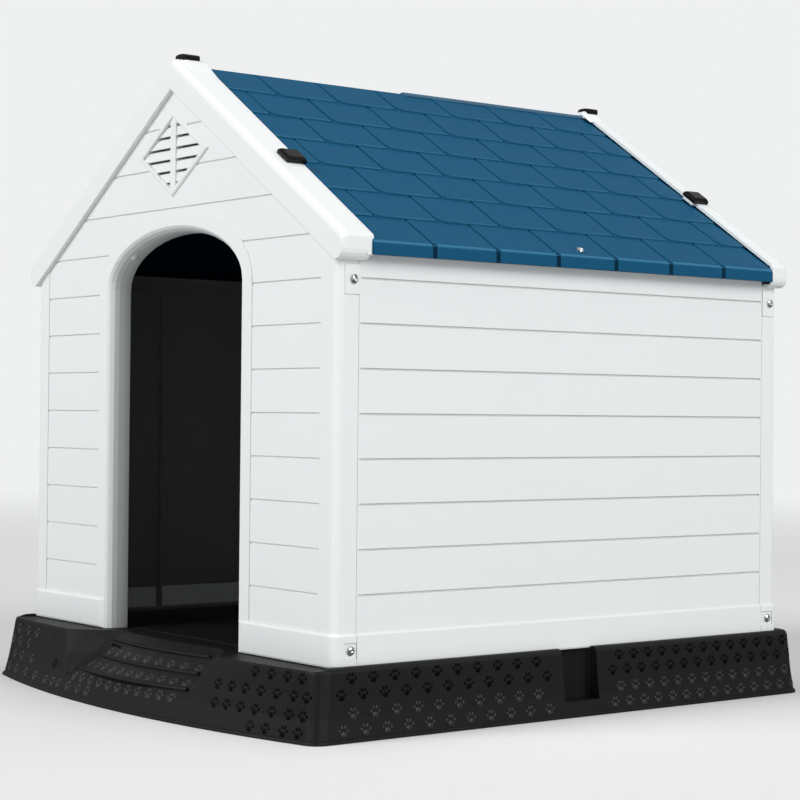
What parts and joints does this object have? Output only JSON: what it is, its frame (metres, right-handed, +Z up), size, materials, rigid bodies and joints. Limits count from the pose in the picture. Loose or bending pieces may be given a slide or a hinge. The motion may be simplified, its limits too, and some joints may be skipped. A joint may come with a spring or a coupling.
{
  "type": "dog house",
  "caption": "Plastic dog house with boarded white walls, an arched doorway, a louvred gable vent, a shingled blue gable roof and a black floor tray with a step.",
  "frame": {"origin": "on the ground under the middle of the base's outline", "axes": "+Z up, the doorway faces -Y, +X to the right of someone looking in at the doorway"},
  "size_m": [0.658, 0.7316, 0.7084],
  "materials": {
    "white_plastic": "satin moulded white polypropylene",
    "blue_plastic": "satin moulded dark blue polypropylene",
    "black_plastic": "fine-grained moulded black polypropylene",
    "gloss_black_plastic": "glossy moulded black plastic",
    "screw_steel": "bright zinc-plated steel"
  },
  "bodies": {
    "root": {"base": "black_plastic", "front_panel": "white_plastic", "back_panel": "white_plastic", "side_panel_right": "white_plastic", "side_panel_left": "white_plastic", "roof_panel_right": "blue_plastic", "roof_panel_left": "blue_plastic", "roof_clip_front_apex": "gloss_black_plastic", "roof_clip_front_right": "gloss_black_plastic", "roof_clip_front_left": "gloss_black_plastic", "roof_clip_back_apex": "gloss_black_plastic", "roof_clip_back_right": "gloss_black_plastic", "roof_clip_back_left": "gloss_black_plastic", "screw_front_right_low": "screw_steel", "screw_front_right_high": "screw_steel", "screw_front_left_low": "screw_steel", "screw_front_left_high": "screw_steel", "screw_back_right_low": "screw_steel", "screw_back_right_high": "screw_steel", "screw_back_left_low": "screw_steel", "screw_back_left_high": "screw_steel", "roof_screw_right": "screw_steel", "roof_screw_left": "screw_steel"}
  },
  "joints": []
}
